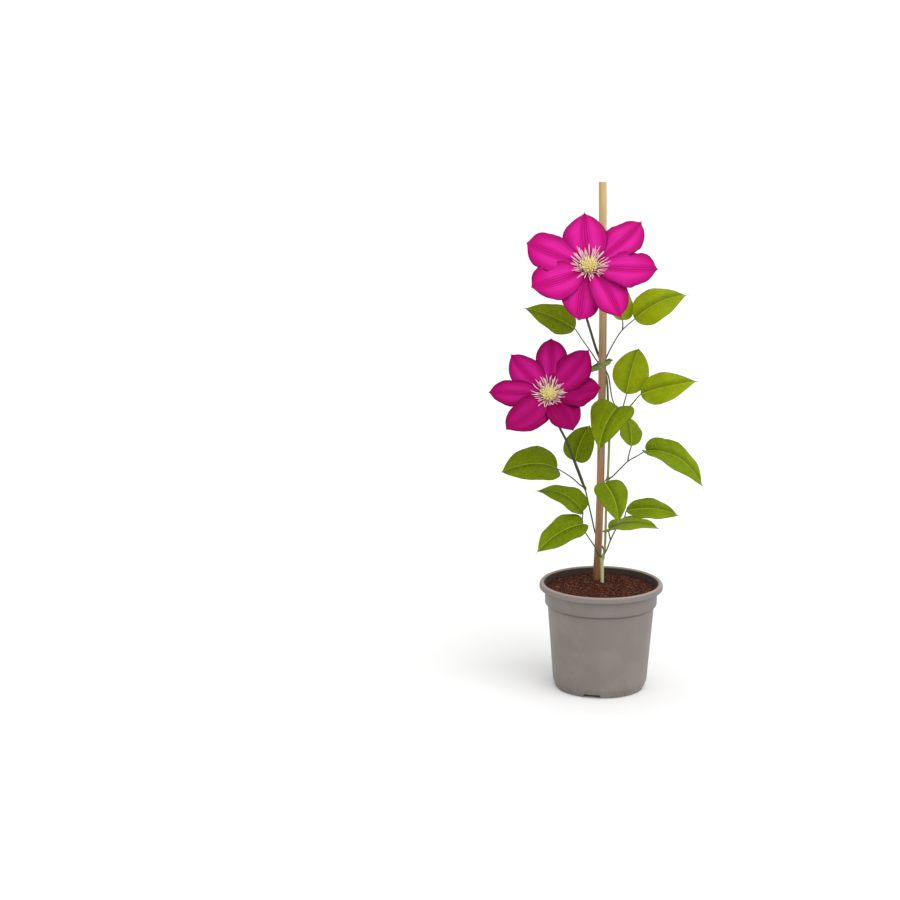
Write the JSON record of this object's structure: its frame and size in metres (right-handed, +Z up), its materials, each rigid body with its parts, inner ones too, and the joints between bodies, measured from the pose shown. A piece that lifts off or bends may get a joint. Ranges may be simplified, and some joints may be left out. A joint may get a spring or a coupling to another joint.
{
  "type": "potted clematis on a cane",
  "caption": "Young climbing clematis in a round nursery pot, tied to a bamboo cane, with heart-shaped leaves on long stalks and large open magenta flowers.",
  "frame": {"origin": "middle of the pot's flat underside, on the surface that the pot stands on", "axes": "+Z up along the pot and the cane, -Y towards the side that the flowers face, +X to the right seen from that side"},
  "size_m": [0.257, 0.1631, 0.6111],
  "materials": {
    "pot": "grey-taupe moulded plastic, satin",
    "soil": "dark brown peat compost, matt crumbs",
    "cane": "dry bamboo, satin, tan above and pinkish brown below",
    "stem": "green stem, dark brown-green at the flower stalks",
    "tie": "soft pale green tie",
    "leaf": "yellow-green leaf, satin with sunk veins",
    "tepal": "magenta petal-like sepal, silky, ribbed along the middle",
    "stamen": "cream stamens, pink-white at the root",
    "pistil": "yellow heart"
  },
  "bodies": {
    "root": {"pot": "pot", "soil": "soil", "cane": "cane", "stem": "stem", "tie": "tie", "leaf_top_left": "leaf", "leaf_top_right": "leaf", "leaf_upper_right": "leaf", "leaf_centre": "leaf", "leaf_middle_right": "leaf", "leaf_back_left": "leaf", "leaf_middle_left": "leaf", "leaf_low_centre": "leaf", "leaf_low_left": "leaf", "leaf_low_right": "leaf", "bloom_upper_tepals": "tepal", "bloom_upper_stamens": "stamen", "bloom_upper_pistil": "pistil", "bloom_lower_tepals": "tepal", "bloom_lower_stamens": "stamen", "bloom_lower_pistil": "pistil"}
  },
  "joints": []
}
